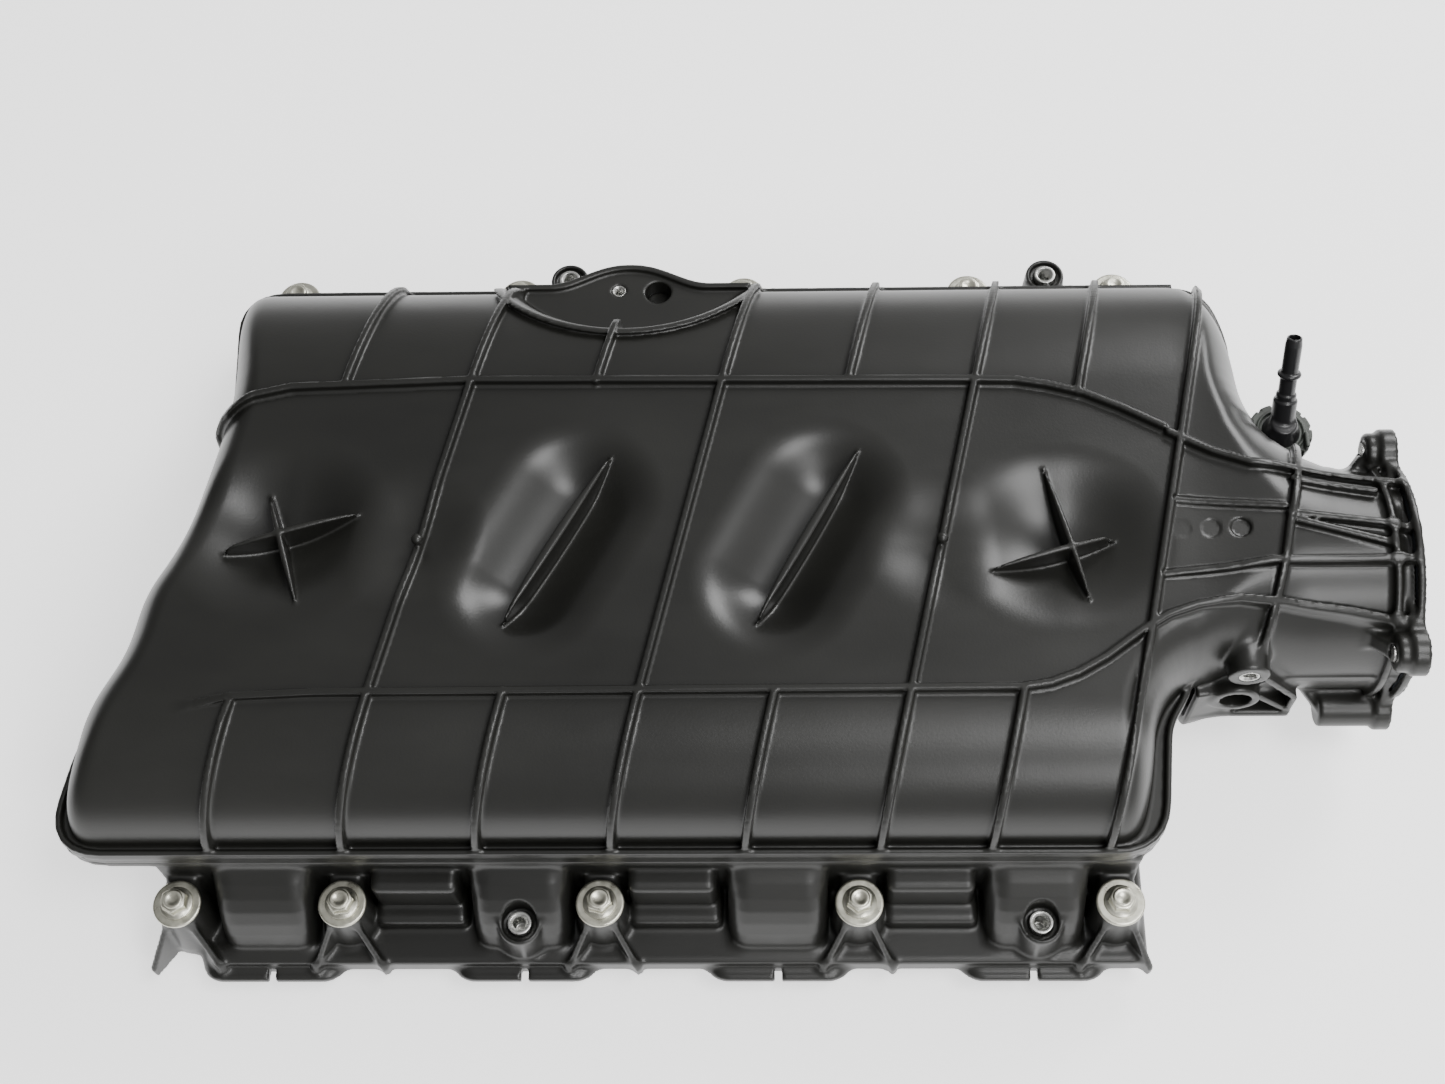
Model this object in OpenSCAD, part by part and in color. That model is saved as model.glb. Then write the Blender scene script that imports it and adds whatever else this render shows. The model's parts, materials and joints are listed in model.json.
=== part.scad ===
// Moulded V8 intake manifold: a ribbed plenum over eight runners, with a side throttle neck.
// X runs along the engine towards the throttle, Y across it and Z up. The port faces' inner edges are at Z = 0.

/* [Engine layout] */
// Distance between neighbouring ports on one side
bore_pitch = 111.76; // [110:0.01:114]
// How far each bank's ports sit from the middle
bank_shift = 10; // [8:0.5:12]
// From a port's centre to the bolt beside it
bolt_offset = 35; // [34:0.5:36]
// From the first port's centre back to the end bolt
end_bolt_offset = 37; // [36:0.5:38]
// Distance between the two rows of bolts
bolt_rows = 312; // [310:1:314]
// Slope of each port face
face_tilt = 12; // [11:0.5:13]

/* [Plenum] */
// Height of the flat top, without its ribs
top_z = 113; // [111:1:115]
// Height of the line where the cover is welded on
weld_z = 70; // [69:1:71]
// How far the weld rim stands out from the walls
rim_out = 5; // [4:0.5:6]
// Wall thickness of the mouldings
wall = 4; // [3.5:0.5:4.5]
// Height of the ribs above the skin
rib_h = 4; // [3:0.5:5]
// Thickness of the ribs
rib_t = 3; // [2.5:0.5:3.5]
// Slant of the cross ribs
rib_skew = 12.7; // [12:0.1:13]
// Distance between the long cross ribs
rib_pitch = 114; // [112:1:116]

/* [Runners] */
// Width of a runner along the engine
runner_w = 34; // [32:1:36]
// Depth of a runner across the engine
runner_d = 42; // [40:1:43]

/* [Throttle neck] */
// Diameter of the air passage
throttle_bore = 88; // [86:1:89]
// Distance between the throttle bolts across the engine
throttle_bolts_y = 98; // [96:1:100]
// Distance between the throttle bolts in height
throttle_bolts_z = 62; // [60:1:64]
// Thickness of the throttle flange
throttle_flange_t = 10; // [9:0.5:12]

/* [Fasteners] */
// Diameter of the flange bolts' thread
bolt_d = 6; // [6:0.1:6]
// Width across the flats of the bolt heads
bolt_hex = 10; // [10:0.1:10.5]
// Length of a bolt under its head
bolt_len = 48; // [46:0.5:49]
// Height of the bolt seats
seat_z = 50; // [49:0.5:51]

/* [Hidden] */
$fn = 48;
// The whole part is shifted by this much, which puts the origin under the middle of its box.
datum_x = -28;

// Port faces
face_in = 112;
face_out = 178;
lobe_out = 182;
face_mid = 143;
mouth_y = 107;
mouth_d = 44;
rail_top = 24;
rail_x0 = -228;
rail_x1 = 211;
port_x = [for (k = [0:3]) -bank_shift + (k - 1.5) * bore_pitch];
row_x = [port_x[0] - end_bolt_offset, for (x = port_x) x + bolt_offset];
bolt_y = bolt_rows / 2;

// Weld stack: the lower rim, the middle shell's plate and the cover's rim
mid_t = 4;
rim_t = 5;
mid_z = weld_z - mid_t;
low_z = mid_z - rim_t;

// Cross ribs, at the middle line: those that run right across, and those on the two edges only
rib_x = 7;
full_ribs = [rib_x - rib_pitch, rib_x, rib_x + rib_pitch, 217];
edge_ribs = [rib_x - rib_pitch * 1.5, rib_x - rib_pitch / 2, rib_x + rib_pitch / 2, 168];

// Trough of the lower shell
trough_y = 78;
trough_z = 16;
trough_x1 = 226;

// Throttle flange
neck_y = -13;
neck_z = 68;
neck_r = throttle_bore / 2 + wall;
neck_x0 = 276;
flange_x = 322;
flange_r = 53;
ring_in_r = throttle_bore / 2 + 2.5;
ring_out_r = ring_in_r + 3.5;
ring_depth = 3;
boss_r = 10;
throttle_insert_r = 4;
throttle_insert_l = 14;

// Bolts and sleeves
boss_top = seat_z - 2;
sleeve_r = 5.5;
sleeve_bore_r = 3.5;
sleeve_z0 = 11;
point_r = 2.2;
point_l = 4;
washer_r = 10.5;

// Far edge sensor pad, and the side sensor pad beside the neck
pad_z = 80;
pad_x = -24;
scoop_r = 75;
scoop_y = 189;
bulge_r = 40;
bulge_y = 113;
sensor_at = [-10, 138];
sensor_bore_r = 6.2;
screw_at = [-29, 139];
screw_insert_r = 3.2;
screw_insert_l = 8;
side_x = 248;
side_y = -68;
side_bore_z = 64;
side_bore_r = 7;
side_insert_z = 87;
side_insert_r = 4.5;
side_insert_l = 12;

// Port seals
seal_gap = 2.5;
seal_t = 3;
seal_depth = 2.5;
seal_proud = 0.4;

// Cover stud bosses: x, y and top
studs = [[-66, -163, 44], [159, -163, 44], [-57, 168, 48], [182, 168, 48]];
stud_r = 8;
stud_insert_r = 5.2;
stud_insert_l = 12;

// Vacuum fitting
fit_at = [284, 67];
fit_seat = 58;
socket_r = 11;
stem_r = 7;
tube_r = 3.95;
tube_lean = 30;
tube_len = 46;
bead_from_end = 20;
bead_r = 5.3;

function unit(v) = v / norm(v);
function along(a, b, k) = a + (b - a) * k;
function bezier(a, b, c, k) = along(along(a, b, k), along(b, c, k), k);

// Rounds each corner of an outline. A point's third value is how far its curve starts from the corner.
function rounded(pts, n = 5) = [
    for (i = [0:len(pts) - 1])
        let (b = pts[i], a = pts[(i + len(pts) - 1) % len(pts)], c = pts[(i + 1) % len(pts)])
            let (p = [b.x, b.y], u = unit([a.x, a.y] - p), v = unit([c.x, c.y] - p))
                for (k = [0:n]) bezier(p + u * b.z, p, p + v * b.z, k / n)
];

// Moves an outline's edges outwards by d, and makes its outer curves larger by as much
function grown(pts, d) = [
    for (i = [0:len(pts) - 1])
        let (b = pts[i], a = pts[(i + len(pts) - 1) % len(pts)], c = pts[(i + 1) % len(pts)])
            let (u = unit([b.x - a.x, b.y - a.y]), v = unit([c.x - b.x, c.y - b.y]))
                let (m = ([u.y, -u.x] + [v.y, -v.x]) / (1 + u * v))
                    [b.x + m.x * d, b.y + m.y * d, b.z + d * cross(u, v) / (1 + u * v)]
];

// Plan of the plenum's walls: x, y and rounding
plenum = [
    [-262, -138, 20], [206, -138, 18], [212, -84, 8], [222, -68, 8], [257, 84, 10],
    [257, 112, 12], [249, 137, 12], [-209, 137, 18], [-205, 72, 22], [-217, 2, 20],
    [-234, -34, 14], [-240, -60, 12], [-254, -92, 14]
];

module at_datum() {
    translate([datum_x, 0, 0]) children();
}

// Draws its children for the near bank, and turned about for the far bank
module both_banks() {
    for (turn = [0, 180]) rotate([0, 0, turn]) children();
}

// Extrudes a Y-Z outline along X from x0 to x1
module along_x(x0, x1) {
    translate([x0, 0, 0]) rotate([90, 0, 90]) linear_extrude(x1 - x0) children();
}

module plan(d, z0, z1) {
    translate([0, 0, z0]) linear_extrude(z1 - z0) polygon(rounded(grown(plenum, d)));
}

// Y-Z outline of the domed plenum, moved outwards by d
function dome(d, base, n = 9) = [
    [-138 - d, base],
    for (k = [0:n]) [-86 - (52 + d) * cos(90 * k / n), 74 + (top_z - 74 + d) * sin(90 * k / n)],
    for (k = [n:-1:0]) [67 + (70 + d) * cos(90 * k / n), 74 + (top_z - 74 + d) * sin(90 * k / n)],
    [137 + d, base]
];

module dome_solid(d, base) {
    intersection() {
        plan(d, base, top_z + rib_h + 1);
        along_x(-300, 300) polygon(dome(d, base));
    }
}

// A vertical wall between two plan points
module rib_wall(a, b) {
    translate([a.x, a.y, weld_z])
        rotate([0, 0, atan2(b.y - a.y, b.x - a.x)])
            translate([0, -rib_t / 2, 0]) cube([norm(b - a), rib_t, top_z - weld_z + rib_h + 2]);
}

module rib_path(pts) {
    for (i = [0:len(pts) - 2]) rib_wall(pts[i], pts[i + 1]);
}

function cross_rib(x, y) = [x + y * tan(rib_skew), y];

module rib_walls() {
    for (x = full_ribs) rib_wall(cross_rib(x, -150), cross_rib(x, 150));
    for (x = edge_ribs) {
        rib_wall(cross_rib(x, -150), cross_rib(x, -84));
        // The sensor scoop cuts the second one short.
        rib_wall(cross_rib(x, 67), cross_rib(x, x == edge_ribs[1] ? 116 : 150));
    }
    rib_path([[-214, -90], [-179, -85.5], [147, -84], [180, -71], [216, -49]]);
    rib_path([[-215, 55], [-173, 65], [136, 66], [165, 63], [191, 55], [222, 38]]);
}

// Half outline of a long dimple: radius r over its middle, narrowing to points at the ends
function spindle(r, l) = [
    [0, -l], for (k = [0:5]) [r * sin(15 + 15 * k), -l + (l - 28) * k / 5],
    for (k = [5:-1:0]) [r * sin(15 + 15 * k), l - (l - 28) * k / 5], [0, l]
];

// The dimples pressed into the top, moved outwards by d
module dimples(d) {
    translate([-171, -9, top_z + 27]) sphere(r = 40 + d, $fn = 64);
    for (x = [-50, 59])
        translate([x, -10, top_z + 5]) rotate([0, 90, 61]) rotate_extrude() polygon(spindle(20 + d, 50 + d));
    translate([171, -12, top_z + 25]) sphere(r = 37 + d, $fn = 64);
}

module dimple_blade(x, y, angle, from, to) {
    translate([x, y, top_z - 30]) rotate([0, 0, angle]) translate([from, -1.3, 0]) cube([to - from, 2.6, 60]);
}

// What the dimples take away: they leave thin blades standing across them
module dimple_hollows() {
    difference() {
        dimples(0);
        dimple_blade(-177, -12, 100, -40, 40);
        dimple_blade(-177, -12, 12, -40, 45);
        for (x = [-50, 59]) dimple_blade(x, -10, 61, -60, 60);
        dimple_blade(172, -14, 105, -40, 40);
        dimple_blade(172, -14, 16, -45, 40);
    }
}

// Y-Z outline where the neck leaves the plenum, moved outwards by d
function neck_section(d) = rounded([
    [-70 - d, 20 - d, 18], [56 + d, 20 - d, 18], [56 + d, top_z + d, 24], [-70 - d, top_z + d, 30]
]);

// The neck's start, a rounded square that becomes round
module neck_loft(d) {
    hull() {
        along_x(trough_x1, trough_x1 + 1) polygon(neck_section(d));
        translate([neck_x0 - 1, neck_y, neck_z]) rotate([0, 90, 0]) cylinder(r = neck_r + d - 0.6, h = 1);
    }
}

function throttle_bolt(i) = [
    neck_y + throttle_bolts_y * (i % 2 - 0.5),
    neck_z + throttle_bolts_z * (floor(i / 2) - 0.5)
];

module throttle_flange() {
    translate([flange_x - throttle_flange_t, neck_y, neck_z])
        rotate([0, 90, 0]) cylinder(r = flange_r, h = throttle_flange_t, $fn = 96);
    for (i = [0:3]) {
        p = throttle_bolt(i);
        // The boss beside the near lower bolt runs back along the neck.
        back = i == 0 ? 34 : 20;
        translate([flange_x - back, p.x, p.y]) rotate([0, 90, 0]) cylinder(r = boss_r - 1, h = back);
        translate([flange_x - throttle_flange_t, p.x, p.y])
            rotate([0, 90, 0]) cylinder(r = boss_r, h = throttle_flange_t);
        // Web from the boss to the flange's disc
        translate([0, neck_y, neck_z])
            rotate([atan2(p.y - neck_z, p.x - neck_y), 0, 0])
                translate([flange_x - throttle_flange_t, 30, -boss_r]) cube([throttle_flange_t, 28, boss_r * 2]);
    }
}

// Ribs on the neck: one across it and seven along it
module neck_ribs() {
    intersection() {
        union() {
            rib_wall(cross_rib(268, -60), cross_rib(268, 42));
            rib_path([[222, 38], [240, 27], [272, 21], [flange_x - 8, 13]]);
            rib_wall([272, 14], [flange_x - 16, 10]);
            rib_path([[216, 5], [264, 0], [flange_x - 5, -13]]);
            rib_wall([266, -4], [flange_x - 10, -18]);
            rib_path([[208, -32], [259, -27], [flange_x - 4, -28]]);
            rib_path([[216, -49], [242, -43], [262, -43], [flange_x - 6, -49]]);
        }
        union() {
            neck_loft(rib_h);
            translate([neck_x0 - 5, neck_y, neck_z])
                rotate([0, 90, 0]) cylinder(r = neck_r + rib_h, h = flange_x - neck_x0);
        }
    }
}

module side_sensor_pad() {
    translate([side_x - 20, side_y, 44]) cube([48, 10, 30]);
    translate([side_x + 1.5, side_y, side_insert_z])
        rotate([-90, 0, 0]) cylinder(r = side_insert_r + 5, h = 26);
    translate([side_x, side_y - 2, side_bore_z]) rotate([-90, 0, 0]) cylinder(r = side_bore_r + 3, h = 20);
    translate([side_x - 6, side_y, side_bore_z]) cube([12, 12, side_insert_z - side_bore_z]);
}

module fitting_socket() {
    translate([fit_at.x, fit_at.y, fit_seat - 22]) cylinder(r = socket_r, h = 22);
    translate([fit_at.x - 8, 24, fit_seat - 20]) cube([16, fit_at.y - 24, 16]);
}

// Flat pad on the far edge, at the foot of a scoop in the dome
module sensor_pad() {
    translate([0, 0, weld_z]) intersection() {
        translate([pad_x, scoop_y, 0]) cylinder(r = scoop_r, h = pad_z - weld_z, $fn = 96);
        linear_extrude(pad_z - weld_z) rim_plan(rim_out);
    }
}

// The weld rim's outline, with its bulge round the sensor pad
module rim_plan(d) {
    polygon(rounded(grown(plenum, d)));
    intersection() {
        translate([pad_x, scoop_y]) circle(r = scoop_r, $fn = 96);
        translate([pad_x, bulge_y]) circle(r = bulge_r, $fn = 96);
    }
}

// The air passage from the plenum out through the throttle flange
module neck_passage() {
    neck_loft(-wall);
    along_x(trough_x1 - 14, trough_x1 + 0.5) polygon(neck_section(-wall));
    translate([neck_x0 - 2, neck_y, neck_z])
        rotate([0, 90, 0]) cylinder(r = throttle_bore / 2, h = flange_x - neck_x0 + 4, $fn = 96);
}

module throttle_groove(r0, r1, depth) {
    translate([flange_x - ring_depth, neck_y, neck_z]) rotate([0, 90, 0]) difference() {
        cylinder(r = r1, h = depth, $fn = 96);
        translate([0, 0, -1]) cylinder(r = r0, h = depth + 2, $fn = 96);
    }
}

module shell_holes() {
    for (i = [0:3])
        translate([flange_x - throttle_insert_l, throttle_bolt(i).x, throttle_bolt(i).y])
            rotate([0, 90, 0]) cylinder(r = throttle_insert_r, h = throttle_insert_l + 1);
    translate([sensor_at.x, sensor_at.y, pad_z - 6]) cylinder(r = sensor_bore_r, h = 7);
    translate([sensor_at.x - 8, sensor_at.y - 12, weld_z - 1]) cube([16, 20, pad_z - weld_z - 4]);
    translate([screw_at.x, screw_at.y, pad_z - screw_insert_l]) cylinder(r = screw_insert_r, h = screw_insert_l + 1);
    translate([side_x, side_y - 3, side_bore_z]) rotate([-90, 0, 0]) cylinder(r = side_bore_r, h = 24);
    translate([side_x + 1.5, side_y - 1, side_insert_z])
        rotate([-90, 0, 0]) cylinder(r = side_insert_r, h = side_insert_l + 1);
    translate([fit_at.x, fit_at.y, fit_seat - 18]) cylinder(r = stem_r, h = 20);
    translate([fit_at.x, neck_y + 30, fit_seat - 12]) rotate([-90, 0, 0]) cylinder(r = 4, h = 48);
}

module upper_shell() {
    color("#1d1d1e") at_datum() difference() {
        union() {
            dome_solid(0, weld_z);
            translate([0, 0, weld_z]) linear_extrude(rim_t) rim_plan(rim_out);
            intersection() {
                rib_walls();
                dome_solid(rib_h, weld_z);
            }
            neck_loft(0);
            translate([neck_x0 - 5, neck_y, neck_z])
                rotate([0, 90, 0]) cylinder(r = neck_r, h = flange_x - neck_x0, $fn = 96);
            neck_ribs();
            throttle_flange();
            side_sensor_pad();
            fitting_socket();
            sensor_pad();
        }
        // Plenum, with the walls of the dimples and of the sensor scoop left standing
        difference() {
            dome_solid(-wall, weld_z - 1);
            dimples(wall - 1);
            translate([pad_x, scoop_y, pad_z - 5]) cylinder(r = scoop_r + wall - 1, h = 60, $fn = 96);
        }
        dimple_hollows();
        translate([pad_x, scoop_y, pad_z]) cylinder(r = scoop_r, h = 60, $fn = 96);
        neck_passage();
        throttle_groove(ring_in_r, ring_out_r, ring_depth + 1);
        shell_holes();
    }
}

// Y-Z outline of a near runner, from the port face up to the plenum, moved outwards by d
function runner_side(d) = [
    for (k = [0:6]) bezier([-face_mid - runner_d / 2 - d, 0], [-158 - d, 40], [-mouth_y - mouth_d / 2 - d, mid_z + 1], k / 6),
    for (k = [0:6]) bezier([mouth_d / 2 - mouth_y + d, mid_z + 1], [-mouth_y + d, 30], [-face_mid + runner_d / 2 + d, 0], k / 6)
];

// Cuts away everything under a near port's sloping face
module face_cut() {
    along_x(-300, 300) polygon([[-face_in + 0.5, 0], [-200, (200 - face_in) * tan(face_tilt)], [-200, -60], [-face_in + 0.5, -60]]);
}

// A ring round a near port, in the face's own slope: inner gap, thickness, depth and how far it stands out
module port_ring(x, gap, t, depth, proud) {
    translate([x, -face_mid, (face_mid - face_in) * tan(face_tilt)]) rotate([-face_tilt, 0, 0])
        translate([0, 0, -proud]) linear_extrude(depth + proud) difference() {
            polygon(port_outline(gap + t));
            polygon(port_outline(gap));
        }
}

// Outline of a runner, length l across the engine, moved outwards by d
function port_outline(d, l = runner_d) = rounded([
    [-runner_w / 2 - d, -l / 2 - d, 7], [runner_w / 2 + d, -l / 2 - d, 7],
    [runner_w / 2 + d, l / 2 + d, 7], [-runner_w / 2 - d, l / 2 + d, 7]
]);

module port_rail() {
    along_x(rail_x0, rail_x1) polygon([
        [-face_in, 0], [-face_out, (face_out - face_in) * tan(face_tilt)], [-face_out, rail_top - 2],
        [-face_out + 2, rail_top], [-face_in - 8, rail_top], [-face_in, rail_top - 8]
    ]);
    // Lobes at the ports, each with a locating notch
    for (x = port_x) difference() {
        along_x(x - 27, x + 27) polygon([
            [-face_out + 2, 14], [-lobe_out, (lobe_out - face_in) * tan(face_tilt)],
            [-lobe_out, rail_top - 3], [-face_out + 2, rail_top - 1]
        ]);
        translate([x - 2, -lobe_out - 1, 0]) cube([4, 5, rail_top + 1]);
    }
}

// Boss for one flange bolt, with two splayed gussets
module bolt_boss(x) {
    translate([x, -bolt_y, 14]) cylinder(r1 = 11.5, r2 = 9.5, h = boss_top - 14);
    for (turn = [-36, 36]) translate([x, -bolt_y, 0]) rotate([0, 0, turn - 90])
        rotate([90, 0, 0]) translate([0, 0, -rib_t / 2]) linear_extrude(rib_t)
            polygon([[4, rail_top - 4], [22, rail_top - 4], [22, rail_top + 1], [9, boss_top - 6], [4, boss_top - 6]]);
}

// Stepped block on the wall beside a bolt between two ports
module step_block(x) {
    translate([x + 14, -151, rail_top - 2]) cube([36, 14, 36]);
    translate([x + 14, -158, rail_top - 2]) cube([38, 20, 19]);
}

module trough(d, x1) {
    intersection() {
        plan(-2 + d, 0, mid_z);
        along_x(-300, x1) polygon([
            [-trough_y - d, mid_z + 1], [-trough_y - d, trough_z + 10], [-trough_y + 10, trough_z - d],
            [trough_y - 10, trough_z - d], [trough_y + d, trough_z + 10], [trough_y + d, mid_z + 1]
        ]);
    }
}

module lower_bank() {
    port_rail();
    for (x = port_x) {
        along_x(x - runner_w / 2 - wall, x + runner_w / 2 + wall) polygon(runner_side(wall));
        // Outer bulge of the runner over the port flange
        along_x(x - runner_w / 2 - wall + 0.5, x + runner_w / 2 + wall - 0.5) polygon([
            [-137, rail_top - 2], for (k = [0:5]) bezier([-170, rail_top - 2], [-166, 52], [-137, low_z + 3], k / 5)
        ]);
    }
    for (x = row_x) bolt_boss(x);
    for (i = [1:3]) step_block(row_x[i]);
    // Skirt that joins the weld rim to the port flange
    translate([rail_x0 + 4, -141, rail_top - 2]) cube([rail_x1 - rail_x0 - 10, 4, low_z - rail_top + 3]);
}

module lower_shell() {
    color("#1b1b1c") at_datum() difference() {
        union() {
            both_banks() lower_bank();
            trough(0, trough_x1);
            difference() {
                translate([0, 0, low_z]) linear_extrude(rim_t) rim_plan(rim_out);
                plan(-6, low_z - 1, mid_z + 1);
            }
            for (s = studs) translate([s.x, s.y, 16]) cylinder(r1 = stud_r + 2, r2 = stud_r, h = s.z - 16);
        }
        both_banks() {
            for (x = port_x) along_x(x - runner_w / 2, x + runner_w / 2) polygon(runner_side(0));
            for (x = port_x) port_ring(x, seal_gap, seal_t, seal_depth, 3);
            for (x = row_x) translate([x, -bolt_y, 0]) cylinder(r = sleeve_r, h = boss_top + 1);
            face_cut();
        }
        translate([0, 0, 0.01]) trough(-wall, trough_x1 - wall);
        along_x(trough_x1 - 14, trough_x1 + 0.5) polygon(neck_section(-wall));
        neck_loft(0);
        translate([-300, -200, mid_z]) cube([600, 400, 10]);
        // The holes run on upwards, clear of the runner beside them.
        for (s = studs) translate([s.x, s.y, s.z - stud_insert_l]) cylinder(r = stud_insert_r, h = stud_insert_l + 12);
    }
}

module middle_shell() {
    color("#202021") at_datum() difference() {
        union() {
            translate([0, 0, mid_z]) linear_extrude(mid_t) rim_plan(rim_out);
            both_banks() for (x = port_x) translate([x, -mouth_y, mid_z]) {
                linear_extrude(mid_t + 2) polygon(port_outline(wall - 1.5, mouth_d));
                translate([0, 0, mid_t + 1]) linear_extrude(2.5) polygon(port_outline(wall - 0.5, mouth_d));
            }
        }
        both_banks() for (x = port_x)
            translate([x, -mouth_y, mid_z - 1]) linear_extrude(mid_t + 6) polygon(port_outline(0, mouth_d));
        intersection() {
            plan(-6, mid_z - 1, weld_z + 1);
            along_x(-300, trough_x1) polygon([
                [-trough_y + wall, mid_z - 1], [trough_y - wall, mid_z - 1],
                [trough_y - wall, weld_z + 1], [-trough_y + wall, weld_z + 1]
            ]);
        }
        along_x(trough_x1 - 14, trough_x1 + 0.5) polygon(neck_section(-wall));
        neck_loft(0);
    }
}

function bolt_at(n) = n <= 5 ? [row_x[n - 1], -bolt_y] : [-row_x[n - 6], bolt_y];

module intake_bolt(n) {
    color("#b9b6a4") at_datum() translate([bolt_at(n).x, bolt_at(n).y, seat_z]) {
        // Pilot point, which finds the tapped hole
        translate([0, 0, -bolt_len]) cylinder(r1 = point_r - 0.5, r2 = point_r, h = 0.6);
        translate([0, 0, 0.6 - bolt_len]) cylinder(r = point_r, h = point_l - 0.6);
        translate([0, 0, point_l - bolt_len]) cylinder(r1 = point_r, d2 = bolt_d, h = 0.8);
        translate([0, 0, point_l + 0.8 - bolt_len]) cylinder(d = bolt_d, h = bolt_len - point_l - 0.8);
        cylinder(r = 7.2, h = 0.8);
        translate([0, 0, 0.8]) cylinder(r1 = 7.2, r2 = 5.4, h = 1.2);
        translate([0, 0, 2]) cylinder(d = bolt_hex / cos(30), h = 4.2, $fn = 6);
        translate([0, 0, 6.2]) cylinder(r1 = 4.2, r2 = 3.8, h = 0.8);
    }
}

module bolt_sleeve(n) {
    color("#c4c2b2") at_datum() translate([bolt_at(n).x, bolt_at(n).y, 0]) difference() {
        union() {
            translate([0, 0, sleeve_z0]) cylinder(r = sleeve_r, h = boss_top - sleeve_z0 + 1);
            translate([0, 0, boss_top]) cylinder(r = washer_r, h = seat_z - boss_top);
        }
        cylinder(r = sleeve_bore_r, h = seat_z + 1);
    }
}

module port_seal(n) {
    color("#3a3f46") at_datum() rotate([0, 0, n <= 4 ? 0 : 180])
        port_ring(port_x[(n - 1) % 4], seal_gap, seal_t, seal_depth, seal_proud);
}

// A threaded metal insert: outer radius, bore radius and length, opening along +Z
module insert(r, bore, l) {
    color("#b4b4b0") difference() {
        cylinder(r = r, h = l);
        translate([0, 0, 1.5]) cylinder(r = bore, h = l);
    }
}

module cover_insert(n) {
    s = studs[n - 1];
    at_datum() translate([s.x, s.y, s.z - stud_insert_l]) insert(stud_insert_r, 3, stud_insert_l);
}

module throttle_insert(n) {
    at_datum() translate([flange_x - throttle_insert_l, throttle_bolt(n - 1).x, throttle_bolt(n - 1).y])
        rotate([0, 90, 0]) insert(throttle_insert_r, 2.5, throttle_insert_l);
}

module throttle_seal() {
    color("#30343a") at_datum() throttle_groove(ring_in_r, ring_out_r, ring_depth);
}

module sensor_screw_insert() {
    at_datum() translate([screw_at.x, screw_at.y, pad_z - screw_insert_l]) insert(screw_insert_r, 2, screw_insert_l);
}

module side_sensor_insert() {
    at_datum() translate([side_x + 1.5, side_y + side_insert_l, side_insert_z])
        rotate([90, 0, 0]) insert(side_insert_r, 3, side_insert_l);
}

module vacuum_fitting() {
    color("#171718") at_datum() translate([fit_at.x, fit_at.y, fit_seat]) difference() {
        union() {
            translate([0, 0, -14]) cylinder(r = stem_r - 2, h = 20);
            translate([0, 0, 6]) cylinder(r1 = 9, r2 = 6, h = 8);
            translate([0, 2, 9]) rotate([-tube_lean, 0, 0]) {
                cylinder(r = 5.6, h = 14);
                cylinder(r = tube_r, h = tube_len);
                translate([0, 0, tube_len - bead_from_end]) cylinder(r = bead_r, h = 2);
            }
        }
        translate([0, 0, -15]) cylinder(r = 2.5, h = 26);
        translate([0, 2, 9]) rotate([-tube_lean, 0, 0]) cylinder(r = 2.6, h = tube_len + 1);
    }
}

module fitting_cap() {
    color("#41463f") at_datum() translate([fit_at.x, fit_at.y, fit_seat]) difference() {
        union() {
            cylinder(r = 15, h = 5);
            translate([0, 0, 5]) cylinder(r1 = 15, r2 = 12, h = 1);
            translate([10, -10, 5.5]) cube([2, 8, 4]);
        }
        translate([0, 0, -1]) cylinder(r = stem_r - 2, h = 8);
    }
}

module fitting_seal() {
    color("#26282b") at_datum() translate([fit_at.x, fit_at.y, fit_seat - 6]) difference() {
        cylinder(r = stem_r, h = 3);
        translate([0, 0, -1]) cylinder(r = stem_r - 2, h = 5);
    }
}

upper_shell();
middle_shell();
lower_shell();
intake_bolt(1);  // intake_bolt_1
intake_bolt(2);  // intake_bolt_2
intake_bolt(3);  // intake_bolt_3
intake_bolt(4);  // intake_bolt_4
intake_bolt(5);  // intake_bolt_5
intake_bolt(6);  // intake_bolt_6
intake_bolt(7);  // intake_bolt_7
intake_bolt(8);  // intake_bolt_8
intake_bolt(9);  // intake_bolt_9
intake_bolt(10);  // intake_bolt_10
bolt_sleeve(1);  // bolt_sleeve_1
bolt_sleeve(2);  // bolt_sleeve_2
bolt_sleeve(3);  // bolt_sleeve_3
bolt_sleeve(4);  // bolt_sleeve_4
bolt_sleeve(5);  // bolt_sleeve_5
bolt_sleeve(6);  // bolt_sleeve_6
bolt_sleeve(7);  // bolt_sleeve_7
bolt_sleeve(8);  // bolt_sleeve_8
bolt_sleeve(9);  // bolt_sleeve_9
bolt_sleeve(10);  // bolt_sleeve_10
port_seal(1);  // port_seal_1
port_seal(2);  // port_seal_2
port_seal(3);  // port_seal_3
port_seal(4);  // port_seal_4
port_seal(5);  // port_seal_5
port_seal(6);  // port_seal_6
port_seal(7);  // port_seal_7
port_seal(8);  // port_seal_8
cover_insert(1);  // cover_insert_1
cover_insert(2);  // cover_insert_2
cover_insert(3);  // cover_insert_3
cover_insert(4);  // cover_insert_4
throttle_insert(1);  // throttle_insert_1
throttle_insert(2);  // throttle_insert_2
throttle_insert(3);  // throttle_insert_3
throttle_insert(4);  // throttle_insert_4
throttle_seal();
sensor_screw_insert();
side_sensor_insert();
vacuum_fitting();
fitting_cap();
fitting_seal();
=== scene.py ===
import json
import math

import bpy
import numpy as np
from mathutils import Matrix, Vector


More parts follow.
